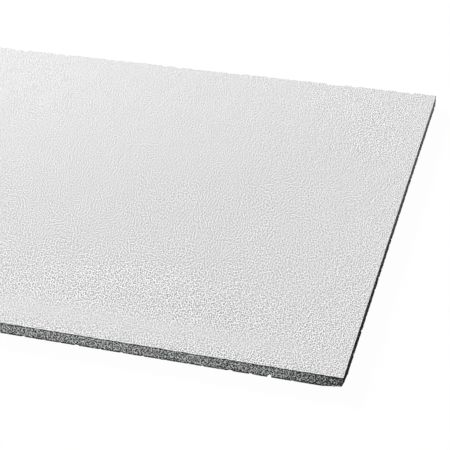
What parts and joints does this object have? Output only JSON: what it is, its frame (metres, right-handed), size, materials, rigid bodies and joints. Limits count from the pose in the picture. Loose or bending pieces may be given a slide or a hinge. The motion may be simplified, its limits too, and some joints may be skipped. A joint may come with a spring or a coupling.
{
  "type": "suspended ceiling tile",
  "caption": "Lay-in mineral board tile with square-cut edges and a finely grained white painted face, for an exposed tee grid.",
  "frame": {"origin": "middle of the plain back, on the surface that the tile lies on", "axes": "+Z out of the painted face, +X along the long side, +Y along the short side"},
  "size_m": [1.195, 0.595, 0.015],
  "materials": {
    "mineral_core": "matte crumbly grey mineral, sawn square",
    "white_paint": "matte white paint with a fine sanded grain"
  },
  "bodies": {
    "root": {"mineral_board": "mineral_core", "face_veil": "white_paint"}
  },
  "joints": []
}
